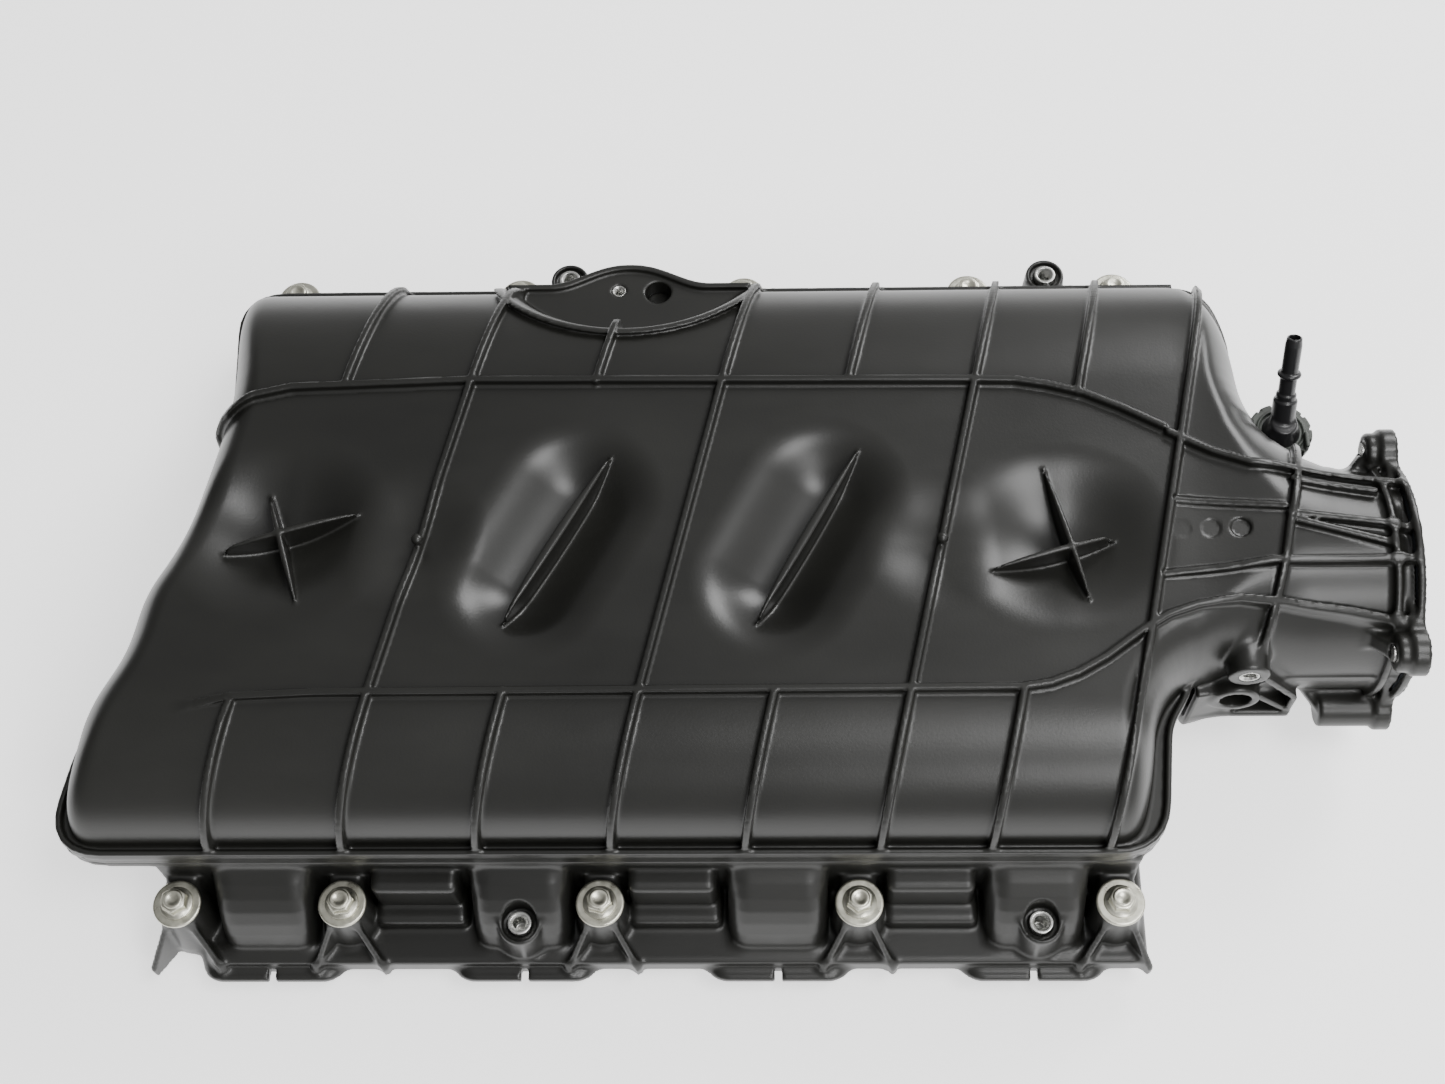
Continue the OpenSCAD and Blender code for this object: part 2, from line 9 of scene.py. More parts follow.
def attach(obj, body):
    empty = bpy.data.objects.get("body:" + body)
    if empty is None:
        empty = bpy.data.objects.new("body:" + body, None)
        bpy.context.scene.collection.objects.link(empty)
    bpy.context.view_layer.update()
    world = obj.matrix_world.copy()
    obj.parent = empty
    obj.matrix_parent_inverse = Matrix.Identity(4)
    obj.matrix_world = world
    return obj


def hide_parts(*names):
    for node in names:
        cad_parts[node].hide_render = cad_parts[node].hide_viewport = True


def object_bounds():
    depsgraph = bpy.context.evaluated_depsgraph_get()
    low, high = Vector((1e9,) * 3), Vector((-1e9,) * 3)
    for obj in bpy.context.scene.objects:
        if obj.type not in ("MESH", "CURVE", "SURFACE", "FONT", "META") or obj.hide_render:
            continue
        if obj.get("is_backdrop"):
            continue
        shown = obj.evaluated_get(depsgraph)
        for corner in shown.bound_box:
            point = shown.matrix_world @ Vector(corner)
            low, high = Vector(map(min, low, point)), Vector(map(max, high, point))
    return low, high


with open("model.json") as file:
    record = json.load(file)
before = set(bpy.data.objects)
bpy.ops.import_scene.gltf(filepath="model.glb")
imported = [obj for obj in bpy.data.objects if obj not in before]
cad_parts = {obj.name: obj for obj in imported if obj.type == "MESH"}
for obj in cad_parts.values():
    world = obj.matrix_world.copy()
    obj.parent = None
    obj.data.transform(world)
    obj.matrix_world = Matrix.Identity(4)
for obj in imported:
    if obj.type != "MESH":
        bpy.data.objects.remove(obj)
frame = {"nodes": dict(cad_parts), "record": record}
cad_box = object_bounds()

# The mouldings are built as distance fields in millimetres, about the engine's middle, and then meshed.
# The model's own frame is the same one moved along X by this much.
SHIFT_X = -28.0
MM = 0.001
BLOCK = 12

TOP_Z = 113.0
WELD_Z = 70.0
WALL = 4.0
RIB_H = 4.0
RIB_T = 3.0
SIN_60 = 0.8660254
TAN_SKEW = math.tan(math.radians(12.7))
TAN_FACE = math.tan(math.radians(12.0))
FACE_IN = 112.0
FACE_MID = 143.0
PORT_PITCH = 111.76
FIRST_PORT = -10.0 - 1.5 * PORT_PITCH
PORT_X = [FIRST_PORT + k * PORT_PITCH for k in range(4)]
ROW_X = [PORT_X[0] - 37.0] + [x + 35.0 for x in PORT_X]
BOLT_Y = 156.0
SEAT_Z = 50.0
NECK_Y = -13.0
NECK_Z = 68.0
FLANGE_X = 322.0
STUDS = [(-66, -163, 44), (159, -163, 44), (-57, 168, 48), (182, 168, 48)]
FIT = (284.0, 67.0, 58.0)

# Sensor pad on the far edge: its floor, the scoop behind it and the rim's bulge round it
PAD_Z = 80.0
PAD_X = -24.0
SCOOP_Y = 189.0
SCOOP_R = 75.0
BULGE_Y = 113.0
BULGE_R = 40.0
EDGE_BORE = (-10.0, 138.0)
EDGE_SCREW = (-29.0, 139.0)
# Sensor pad beside the neck, as X and Z
SIDE_BORE = (248.0, 64.0)
SIDE_SCREW = (249.5, 87.0)
# Throttle flange
NECK_R = 48.0
THROTTLE_R = 44.0
RING_MID = 48.25
RING_HALF = 1.75
RING_DEPTH = 3.0

PLENUM = [
    (-262, -138, 20), (206, -138, 18), (212, -84, 8), (222, -68, 8), (257, 84, 10),
    (257, 112, 12), (249, 137, 12), (-209, 137, 18), (-205, 72, 22), (-217, 2, 20),
    (-234, -34, 14), (-240, -60, 12), (-254, -92, 14),
]
# Walls of the dome's two ends and of the neck, carried on past the long sides
ENDS = [
    (-260, -400, 1), (203, -400, 1), (203, -130, 10), (209, -86, 10), (219, -70, 10), (239, -61, 14),
    (300, -60, 10), (350, -61, 1), (350, 35, 1), (300, 36, 14), (280, 46, 16), (264, 64, 16),
    (260, 112, 18), (249, 140, 14), (247, 400, 1), (-211, 400, 1), (-211, 120, 16), (-207, 72, 20),
    (-212, 42, 14), (-221, -2, 16), (-235.5, -30, 10), (-240, -58, 10), (-253, -84, 12), (-256, -108, 12),
    (-260, -130, 12),
]


# Numbers and fields

def soft_min(a, b, k):
    h = np.clip(0.5 + 0.5 * (b - a) / k, 0.0, 1.0)
    return b + (a - b) * h - k * h * (1.0 - h)


def soft_max(a, b, k):
    return -soft_min(-a, -b, k)


def ease(t):
    t = np.clip(t, 0.0, 1.0)
    return t * t * (3.0 - 2.0 * t)


def mix(a, b, t):
    return a + (b - a) * t


def rounded(points, n=6):
    """An outline with rounded corners. A point's third value is how far from it the curve starts."""
    out = []
    for i, (x, y, r) in enumerate(points):
        p = Vector((x, y))
        a = Vector(points[i - 1][:2])
        c = Vector(points[(i + 1) % len(points)][:2])
        start = p + (a - p).normalized() * r
        end = p + (c - p).normalized() * r
        for k in range(n + 1):
            t = k / n
            out.append(start.lerp(p, t).lerp(p.lerp(end, t), t))
    return [(p.x, p.y) for p in out]


def bezier(a, b, c, n=8):
    a, b, c = Vector(a), Vector(b), Vector(c)
    return [tuple(a.lerp(b, k / n).lerp(b.lerp(c, k / n), k / n)) for k in range(n + 1)]


def reader(grid, lo, step):
    """Reads a grid of values at any points, by bilinear steps."""
    def read(u, v):
        i = np.clip((u - lo[0]) / step, 0, grid.shape[0] - 1.001)
        j = np.clip((v - lo[1]) / step, 0, grid.shape[1] - 1.001)
        a, b = i.astype(np.int32), j.astype(np.int32)
        s, t = i - a, j - b
        low = grid[a, b] * (1 - s) + grid[a + 1, b] * s
        high = grid[a, b + 1] * (1 - s) + grid[a + 1, b + 1] * s
        return low * (1 - t) + high * t
    return read


def plane_grid(lo, hi, step):
    u = np.arange(lo[0], hi[0] + step, step, dtype=np.float32)
    v = np.arange(lo[1], hi[1] + step, step, dtype=np.float32)
    return np.meshgrid(u, v, indexing="ij")


def outline_distance(points, lo, hi, step=1.0):
    """Signed distance to a closed outline, negative inside, as a function of two coordinates."""
    u, v = plane_grid(lo, hi, step)
    best = np.full(u.shape, 1e9, np.float32)
    inside = np.zeros(u.shape, bool)
    for (ax, ay), (bx, by) in zip(points, points[1:] + points[:1]):
        ex, ey = bx - ax, by - ay
        length = ex * ex + ey * ey
        if length < 1e-9:
            continue
        t = np.clip(((u - ax) * ex + (v - ay) * ey) / length, 0, 1)
        best = np.minimum(best, (u - ax - ex * t) ** 2 + (v - ay - ey * t) ** 2)
        if ey:
            crossed = ((ay > v) != (by > v)) & (u < ax + (v - ay) * ex / ey)
            inside ^= crossed
    return reader(np.sqrt(best) * np.where(inside, -1, 1), lo, step)


def rib_distance(paths, lo, hi, step=0.5):
    """Distance in plan to the nearest rib, and its height there. A path is a list of (x, y, height)."""
    u, v = plane_grid(lo, hi, step)
    best = np.full(u.shape, 1e9, np.float32)
    height = np.zeros(u.shape, np.float32)
    for path in paths:
        for (ax, ay, ah), (bx, by, bh) in zip(path, path[1:]):
            ex, ey = bx - ax, by - ay
            t = np.clip(((u - ax) * ex + (v - ay) * ey) / (ex * ex + ey * ey), 0, 1)
            d = np.hypot(u - ax - ex * t, v - ay - ey * t)
            nearer = d < best
            best = np.where(nearer, d, best)
            height = np.where(nearer, ah + (bh - ah) * t, height)
    return reader(best, lo, step), reader(height, lo, step)


def box(x, y, z, lo, hi, r=1.0):
    """A box with rounded edges."""
    q = [np.abs(c - (a + b) / 2) - (b - a) / 2 + r for c, a, b in zip((x, y, z), lo, hi)]
    outside = np.sqrt(sum(np.maximum(c, 0) ** 2 for c in q))
    return outside + np.minimum(np.maximum(np.maximum(q[0], q[1]), q[2]), 0) - r


def rod(u, v, w, cu, cv, r, w0, w1, edge=0.8):
    """A cylinder along w. The radius may be an array."""
    return soft_max(np.hypot(u - cu, v - cv) - r, np.maximum(w0 - w, w - w1), edge)


def capsule(x, y, z, a, b, r):
    ex, ey, ez = (b[k] - a[k] for k in range(3))
    t = np.clip(((x - a[0]) * ex + (y - a[1]) * ey + (z - a[2]) * ez) / (ex * ex + ey * ey + ez * ez), 0, 1)
    return np.sqrt((x - a[0] - ex * t) ** 2 + (y - a[1] - ey * t) ** 2 + (z - a[2] - ez * t) ** 2) - r


def round_rect(u, v, hu, hv, r):
    qu, qv = np.abs(u) - hu + r, np.abs(v) - hv + r
    return np.hypot(np.maximum(qu, 0), np.maximum(qv, 0)) + np.minimum(np.maximum(qu, qv), 0) - r


# Meshing

def sample_field(field, lo, step, blocks):
    """The field's values on a grid, worked out in full only in the blocks near its surface."""
    side = BLOCK * step
    axes = [lo[k] + side * (np.arange(blocks[k]) + 0.5) for k in range(3)]
    centre = field(*[a.astype(np.float32) for a in np.meshgrid(*axes, indexing="ij")])
    value = np.repeat(np.repeat(np.repeat(centre, BLOCK, 0), BLOCK, 1), BLOCK, 2).astype(np.float32)
    view = value.reshape(blocks[0], BLOCK, blocks[1], BLOCK, blocks[2], BLOCK)
    near = np.argwhere(np.abs(centre) < side * 1.35)
    offset = np.arange(BLOCK, dtype=np.float32) * step
    for start in range(0, len(near), 500):
        some = near[start:start + 500]
        base = (np.array(lo) + some * side).astype(np.float32)
        full = (len(some), BLOCK, BLOCK, BLOCK)
        x = np.broadcast_to(base[:, 0, None, None, None] + offset[:, None, None], full)
        y = np.broadcast_to(base[:, 1, None, None, None] + offset[None, :, None], full)
        z = np.broadcast_to(base[:, 2, None, None, None] + offset[None, None, :], full)
        view[some[:, 0], :, some[:, 1], :, some[:, 2], :] = field(x, y, z)
    return value


def surface_nets(value, lo, step):
    """A quad mesh of the grid's zero surface: one vertex in each cell that it crosses."""
    inside = value < 0
    count = np.zeros([n - 1 for n in inside.shape], np.uint8)
    corners = [(i, j, k) for i in (0, 1) for j in (0, 1) for k in (0, 1)]
    for i, j, k in corners:
        a, b, c = count.shape
        count += inside[i:i + a, j:j + b, k:k + c]
    crossed = (count > 0) & (count < 8)
    cell = np.argwhere(crossed)
    index = np.full(crossed.shape, -1, np.int32)
    index[crossed] = np.arange(len(cell))
    total = np.zeros((len(cell), 3))
    hits = np.zeros(len(cell))
    unit = np.eye(3, dtype=int)
    for axis in range(3):
        for u, v in ((0, 0), (0, 1), (1, 0), (1, 1)):
            first = u * unit[(axis + 1) % 3] + v * unit[(axis + 2) % 3]
            a = value[tuple((cell + first).T)]
            b = value[tuple((cell + first + unit[axis]).T)]
            cut = (a < 0) != (b < 0)
            t = np.where(cut, a / np.where(cut, a - b, 1), 0)
            total += np.where(cut[:, None], first + t[:, None] * unit[axis], 0)
            hits += cut
    points = np.array(lo) + step * (cell + total / hits[:, None])
    quads = []
    for axis in range(3):
        u, v = (axis + 1) % 3, (axis + 2) % 3
        low = [slice(None)] * 3
        high = [slice(None)] * 3
        low[axis], high[axis] = slice(None, -1), slice(1, None)
        a, b = inside[tuple(low)], inside[tuple(high)]
        edge = np.argwhere(a != b)
        keep = (edge[:, u] > 0) & (edge[:, v] > 0)
        keep &= (edge[:, u] < index.shape[u]) & (edge[:, v] < index.shape[v])
        edge = edge[keep]
        ring = [-unit[u] - unit[v], -unit[v], 0 * unit[u], -unit[u]]
        quad = np.stack([index[tuple((edge + r).T)] for r in ring], axis=1)
        outward = a[tuple(edge.T)]
        quad[~outward] = quad[~outward][:, ::-1]
        quads.append(quad)
    return points, np.concatenate(quads)


def settle(points, field, step):
    """Moves the vertices onto the field's own surface."""
    e = 0.05
    p = points.astype(np.float32)
    for _ in range(2):
        f = field(p[:, 0], p[:, 1], p[:, 2])
        g = np.stack([
            field(p[:, 0] + e, p[:, 1], p[:, 2]), field(p[:, 0], p[:, 1] + e, p[:, 2]),
            field(p[:, 0], p[:, 1], p[:, 2] + e)], axis=1)
        g = (g - f[:, None]) / e
        size = np.maximum(np.sum(g * g, axis=1), 0.2)
        p = p - g * (np.clip(f, -0.6 * step, 0.6 * step) / size)[:, None]
    return p


def new_mesh(name, points, quads):
    mesh = bpy.data.meshes.new(name)
    mesh.vertices.add(len(points))
    mesh.vertices.foreach_set("co", np.asarray(points, np.float32).ravel())
    mesh.loops.add(len(quads) * 4)
    mesh.loops.foreach_set("vertex_index", quads.astype(np.int32).ravel())
    mesh.polygons.add(len(quads))
    mesh.polygons.foreach_set("loop_start", np.arange(len(quads), dtype=np.int32) * 4)
    mesh.update(calc_edges=True)
    mesh.validate()
    mesh.polygons.foreach_set("use_smooth", np.ones(len(mesh.polygons), bool))
    return mesh


def field_mesh(name, field, lo, hi, step):
    """Meshes where field(x, y, z) is below zero. Millimetres in, metres in the model's frame out."""
    blocks = [max(1, math.ceil((b - a) / (step * BLOCK))) for a, b in zip(lo, hi)]
    value = sample_field(field, lo, step, blocks)
    points, quads = surface_nets(value, lo, step)
    points = settle(points, field, step)
    points[:, 0] += SHIFT_X
    return new_mesh(name, points * MM, quads)


def add_piece(name, mesh, material, body, nodes):
    piece = bpy.data.objects.new(name, mesh)
    bpy.context.scene.collection.objects.link(piece)
    mesh.materials.append(material)
    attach(piece, body)
    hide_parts(*nodes)
    return piece


# Upper shell

def cross_rib(x0, y0, y1, h=RIB_H):
    return [(x0 + y0 * TAN_SKEW, y0, h), (x0 + y1 * TAN_SKEW, y1, h)]


RIB_Y = 150
# Ribs that cross the whole dome, then those of the near side and of the far side
BODY_RIBS = [cross_rib(x0, -RIB_Y, RIB_Y) for x0 in (-107, 7, 121, 217)]
BODY_RIBS += [cross_rib(x0, -RIB_Y, -84) for x0 in (-50, 64, 168)]
BODY_RIBS += [[(-198, -RIB_Y, 4), (-186, -97, 4), (-184, -88, 2.6)]]
FAR_RIBS = ((-164, 67, RIB_Y), (-50, 67, 104), (64, 67, RIB_Y), (168, 59, RIB_Y))
BODY_RIBS += [cross_rib(*far_rib) for far_rib in FAR_RIBS]
# Long ribs, and those on the neck
BODY_RIBS += [
    [(-222, -92, -4), (-202, -89, 0.5), (-184, -86, 3.4), (-150, -84.5, 4), (147, -83.5, 4),
     (160, -81.5, 4), (172, -77, 4), (184, -70, 4), (200, -58, 4), (212, -50.5, 4), (225, -46, 4),
     (243, -43, 4), (263, -43, 4), (290, -46, 4), (322, -51, 4)],
    [(-225, 51, 4), (-203, 55, 4), (-190, 61, 4), (-173, 65, 4), (-90, 68, 4), (23, 67, 4), (136, 66, 4),
     (154, 65.5, 4), (168, 63, 4), (184, 58.5, 4), (200, 51, 4), (218, 41, 4)],
    [(220, 38, 4), (238, 28, 4), (254, 21.5, 4), (273, 20, 4), (318, 13, 5)],
    [(272, 14, 3), (306, 8, 4)],
    [(219, 5, 1.6), (266, 0, 2.4)],
    [(268, -4, 3.4), (322, -12, 5)],
    [(270, -7, 3), (308, -18, 2.6)],
    [(211, -31, 1.8), (240, -28.5, 3), (259, -26, 3.5), (322, -26, 5)],
    [(280, 40, 4), (271, 4, 4), (267, -10, 4), (262, -32, 4), (255, -58, 4), (253, -66, 0)],
]

plan_distance = outline_distance(rounded(PLENUM), (-320, -200), (300, 200))
end_distance = outline_distance(rounded(ENDS), (-320, -200), (360, 200))
rib_gap, rib_height = rib_distance(BODY_RIBS, (-300, -180), (340, 180))


# Bowls of the dimples: a line and the radius round it
BOWLS = [
    ((-174, -6, 139), (-168, -7, 139), 38), ((-63, -32, 124), (-41, 10, 124), 24),
    ((46, -32, 124), (68, 10, 124), 24), ((166, -12, 140), (174, -12, 140), 38),
    ((-112, -14, 140), (-112, -10, 140), 27.6), ((116, -16, 140), (116, -12, 140), 27.6),
]


GATES = [(-110, -13), (118, -14)]


def upper_core(x, y, z):
    """The dome and the neck as one smooth solid, with the dimples pressed into it."""
    neck = ease((x - 226) / 50)
    end_r = mix(20.0, NECK_R, neck)
    mid_z = mix(74.0, NECK_Z, neck)
    high = mix(TOP_Z - 74.0, NECK_R, neck)
    side_r = np.where(y < 0, 52.0, 70.0)
    across = np.maximum(np.maximum((-138 - y) / 52 + 1, (y - 137) / 70 + 1), 0)
    along = np.maximum(end_distance(x, y) / end_r + 1, 0)
    up = np.maximum(z - mid_z, 0) / high
    r = np.sqrt(np.sqrt(along ** 4 + across ** 4) + up * up)
    slope = np.sqrt((along / end_r) ** 2 + (across / side_r) ** 2 + (up / high) ** 2) / np.maximum(r, 0.05)
    dome = (r - 1) / np.maximum(slope, 0.014)
    dome = np.where(x > 230, np.maximum(dome, 66 - z), dome)
    section = round_rect(
        y - mix(-7.0, NECK_Y, neck), z - mix(66.5, NECK_Z, neck),
        mix(63.0, NECK_R, neck), mix(46.5, NECK_R, neck), mix(20.0, NECK_R, neck))
    under = np.maximum(np.maximum(section, z - 70), 222 - x)
    core = soft_min(dome, under, 1.5)
    for a, b, radius in BOWLS:
        core = soft_max(core, -capsule(x, y, z, a, b, radius), 16)
    for gx, gy in GATES:
        core = soft_max(core, 21.5 - np.sqrt((x - gx) ** 2 + (y - gy) ** 2 + (z - TOP_Z - 20) ** 2), 1.0)
    # The scoop's wall leans back from the sensor pad's floor.
    scoop = np.hypot(x - PAD_X, y - SCOOP_Y) - SCOOP_R - np.maximum(z - PAD_Z, 0) * 0.5
    return soft_max(core, -np.maximum(scoop * 0.9, PAD_Z - 0.5 - z), 3)


# Blades across the dimples: two plan points and the width
BLADES = [
    (-179, 14, -161, -42, 2.6), (-197, -16, -137, 2, 2.6), (-72, -52, -27, 30, 4.2), (37, -52, 83, 32, 4.2),
    (164, 22, 180, -42, 2.6), (139, -27.5, 194, -11.5, 2.6),
]


def blade(x, y, z, core, ax, ay, bx, by, width):
    """A thin blade that stands across a dimple, narrowing to points at its ends."""
    ex, ey = bx - ax, by - ay
    length = math.hypot(ex, ey)
    s = ((x - ax) * ex + (y - ay) * ey) / length ** 2 * 2 - 1
    gap = np.abs((x - ax) * ey - (y - ay) * ex) / length
    wide = 0.3 + (width / 2 - 0.3) * np.clip(1 - s * s, 0, 1)
    top = TOP_Z + 2.4 * np.clip(1 - s * s, 0, 1) - 0.6
    d = soft_max(gap - wide, z - top, 1.0)
    d = np.maximum(d, core - 0.4 - 22 * np.clip(1 - s * s, 0, 1))
    return np.maximum(np.maximum(d, TOP_Z - 22 - z), (np.abs(s) - 1) * length / 2)


def throttle_bolts():
    return [(NECK_Y + sy * 49, NECK_Z + sz * 31) for sz in (-1, 1) for sy in (-1, 1)]


def throttle_flange(x, y, z):
    """Two thin rings round the neck's end, with four bolt bosses on webbed arms."""
    d = rod(y, z, x, NECK_Y, NECK_Z, 53.0, FLANGE_X - 3.2, FLANGE_X + 2, 0.8)
    d = soft_min(d, rod(y, z, x, NECK_Y, NECK_Z, 51.6, FLANGE_X - 12.4, FLANGE_X - 9.6, 0.8), 0.6)
    for i, (by, bz) in enumerate(throttle_bolts()):
        back = 32 if i == 0 else 13
        d = soft_min(d, rod(y, z, x, by, bz, 10.0, FLANGE_X - 7, FLANGE_X + 2, 1.5), 6)
        d = soft_min(d, rod(y, z, x, by, bz, 8.4, FLANGE_X - back, FLANGE_X + 2, 2), 2.5)
        # Arm from the boss to the neck, and a thick web behind it
        ey, ez = by - NECK_Y, bz - NECK_Z
        length = math.hypot(ey, ez)
        ey, ez = ey / length, ez / length
        u = (y - NECK_Y) * ey + (z - NECK_Z) * ez
        v = (z - NECK_Z) * ey - (y - NECK_Y) * ez
        half = mix(27.0, 8.5, np.clip((u - 34) / 22, 0, 1))
        arm = soft_max(np.maximum(FLANGE_X - 6 - x, x - FLANGE_X - 2), np.abs(v) - half, 1.5)
        d = soft_min(d, np.maximum(arm, np.maximum(30 - u, u - length)), 3)
        web = soft_max(np.abs(v) - 4.2, np.maximum(30 - u, u - length), 1.5)
        slope = (FLANGE_X - back - 9 - x) * 0.8 + (u - 47) * 0.6
        d = soft_min(d, soft_max(web, np.maximum(slope, x - FLANGE_X), 2), 3)
    return d


def side_pad(x, y, z):
    """The sensor pad on the neck's near side, with open pockets between its webs."""
    d = box(x, y, z, (228, -68, 41), (276, -52, 45), 1)
    d = np.minimum(d, box(x, y, z, (228, -68, 41), (231, -50, 62), 1))
    d = np.minimum(d, rod(x, z, y, *SIDE_BORE, 10.5, -69.5, -50, 1))
    d = soft_min(d, rod(x, z, y, *SIDE_SCREW, 9.0, -68, -40, 1), 1.5)
    d = soft_min(d, capsule(x, y, z, (249.5, -55, 87), (248, -44, 95), 8.6), 6)
    for ax, az, bx, bz in ((238, 64, 228, 46), (258, 62, 274, 46), (248, 54, 248, 44), (250, 76, 250, 80),
                           (257, 82, 275, 60), (275, 60, 275, 44)):
        length = math.hypot(bx - ax, bz - az)
        u = ((x - ax) * (bx - ax) + (z - az) * (bz - az)) / length
        v = ((x - ax) * (bz - az) - (z - az) * (bx - ax)) / length
        d = soft_min(d, box(u, v, y, (0, -1.3, -67), (length, 1.3, -50), 0.6), 1.2)
    return d


def rim_outline(x, y):
    """The weld rim's outline, with its bulge round the sensor pad."""
    return soft_min(plan_distance(x, y) - 5, np.hypot(x - PAD_X, y - BULGE_Y) - BULGE_R, 9)


def edge_pad(x, y, z, edge):
    """Flat sensor pad on the far edge, at the foot of a scoop, with a raised lip along the edge."""
    scoop = np.hypot(x - PAD_X, y - SCOOP_Y) - SCOOP_R - 1
    d = np.maximum(soft_max(edge, np.maximum(WELD_Z - z, z - PAD_Z), 1.2), scoop)
    lip = soft_max(np.abs(edge + 1.6) - 1.5, np.maximum(WELD_Z - z, z - PAD_Z - 2.5), 0.8)
    return soft_min(d, np.maximum(lip, scoop), 1.2)


def upper_shell(x, y, z):
    core = upper_core(x, y, z)
    plan = plan_distance(x, y)
    # Ribs follow the surface, and stop at the weld rim.
    height = rib_height(x, y)
    rib = soft_max(rib_gap(x, y) - (RIB_T / 2 + 0.25) + 0.06 * np.maximum(core, 0), core - height, 0.5)
    rib = np.where(x < 225, soft_max(rib, plan - 4.8, 2), rib)
    rib = np.maximum(rib, np.where(x < 225, WELD_Z - 3, 60) - z)
    # A raised lip along the scoop's upper edge
    lean = np.maximum(z - PAD_Z, 0) * 0.5
    lip_plan = np.abs(np.hypot(x - PAD_X, y - SCOOP_Y) - SCOOP_R - 2.5 - lean) - 1.6
    scoop_lip = np.maximum(soft_max(lip_plan, core - 3.0, 0.7), PAD_Z - z)
    d = soft_min(core, soft_min(rib, scoop_lip, 0.6), 1.3)
    for ends in BLADES:
        d = soft_min(d, blade(x, y, z, core, *ends), 1.0)
    # Gate marks on two of the ribs, and three shallow discs
    for gx, gy in GATES:
        d = soft_min(d, np.sqrt((x - gx) ** 2 + (y - gy) ** 2 + (z - TOP_Z - 2.4) ** 2) - 2.6, 1.0)
    for gx in (221.5, 234, 247):
        d = soft_max(d, -rod(x, y, z, gx, -9, 4.3, TOP_Z - 0.12, TOP_Z + 9, 0.1), 0.1)
    # Weld rim: a plate with a raised lip
    edge = rim_outline(x, y)
    plate = soft_max(edge, np.maximum(WELD_Z - z, z - 74), 1.2)
    lip = soft_max(np.abs(edge + 1.3) - 1.3, np.maximum(WELD_Z - z, z - 77), 0.8)
    lip = np.where(x > 238, 50.0, lip)
    d = soft_min(d, soft_min(plate, lip, 1.0), 2.0)
    d = soft_min(d, edge_pad(x, y, z, edge), 1.5)
    d = soft_min(d, throttle_flange(x, y, z), 3)
    d = soft_min(d, side_pad(x, y, z), 3)
    # Socket of the vacuum fitting, with its arm to the neck
    d = soft_min(d, rod(x, y, z, FIT[0], FIT[1], 11.0, FIT[2] - 22, FIT[2], 1.5), 2)
    d = soft_min(d, box(x, y, z, (FIT[0] - 8, 20, FIT[2] - 20), (FIT[0] + 8, FIT[1], FIT[2] - 4), 3), 4)
    # Hollow inside, with the same wall all over
    hollow = core + WALL
    d = soft_max(d, -hollow, 1)
    d = np.maximum(d, -rod(y, z, x, NECK_Y, NECK_Z, THROTTLE_R, 274, FLANGE_X + 9, 0.5))
    d = np.maximum(d, -np.maximum(z - WELD_Z, x - 230))
    d = np.maximum(d, x - FLANGE_X)
    ring = np.abs(np.hypot(y - NECK_Y, z - NECK_Z) - RING_MID) - RING_HALF
    d = np.maximum(d, -np.maximum(ring, FLANGE_X - RING_DEPTH - x))
    for by, bz in throttle_bolts():
        d = np.maximum(d, -rod(y, z, x, by, bz, 4.0, FLANGE_X - 14, FLANGE_X + 9, 0.2))
    # Bores and insert holes of the two sensor pads
    d = soft_max(d, -rod(x, y, z, *EDGE_BORE, 6.2, 66, 90, 0.2), 0.5)
    d = np.maximum(d, -rod(x, y, z, *EDGE_SCREW, 3.2, 72, 90, 0.2))
    d = soft_max(d, -rod(x, z, y, *SIDE_BORE, 7.0, -80, -49, 0.2), 0.5)
    d = np.maximum(d, -rod(x, z, y, *SIDE_SCREW, 4.5, -80, -56, 0.2))
    return np.maximum(d, -rod(x, y, z, FIT[0], FIT[1], 7.0, FIT[2] - 18, FIT[2] + 9, 0.2))


# Lower shell

def runner_outline(d):
    outer = bezier((-FACE_MID - 21 - d, 0), (-158 - d, 40), (-132 - d, 67))
    inner = bezier((-84 + d, 67), (-108 + d, 30), (-FACE_MID + 21 + d, 0))
    return outer + inner


runner_outer = outline_distance(runner_outline(WALL), (-200, -10), (-40, 80), 0.5)
runner_inner = outline_distance(runner_outline(0), (-200, -10), (-40, 80), 0.5)
bulge_outline = outline_distance(
    [(-125, 20), (-137, 20)] + bezier((-170, 22), (-166, 52), (-137, 64)) + [(-125, 64)],
    (-200, -10), (-40, 80), 0.5)
trough_outline = outline_distance(
    [(-78, 80), (-78, 26), (-68, 16), (68, 16), (78, 26), (78, 80)], (-120, -10), (120, 90))


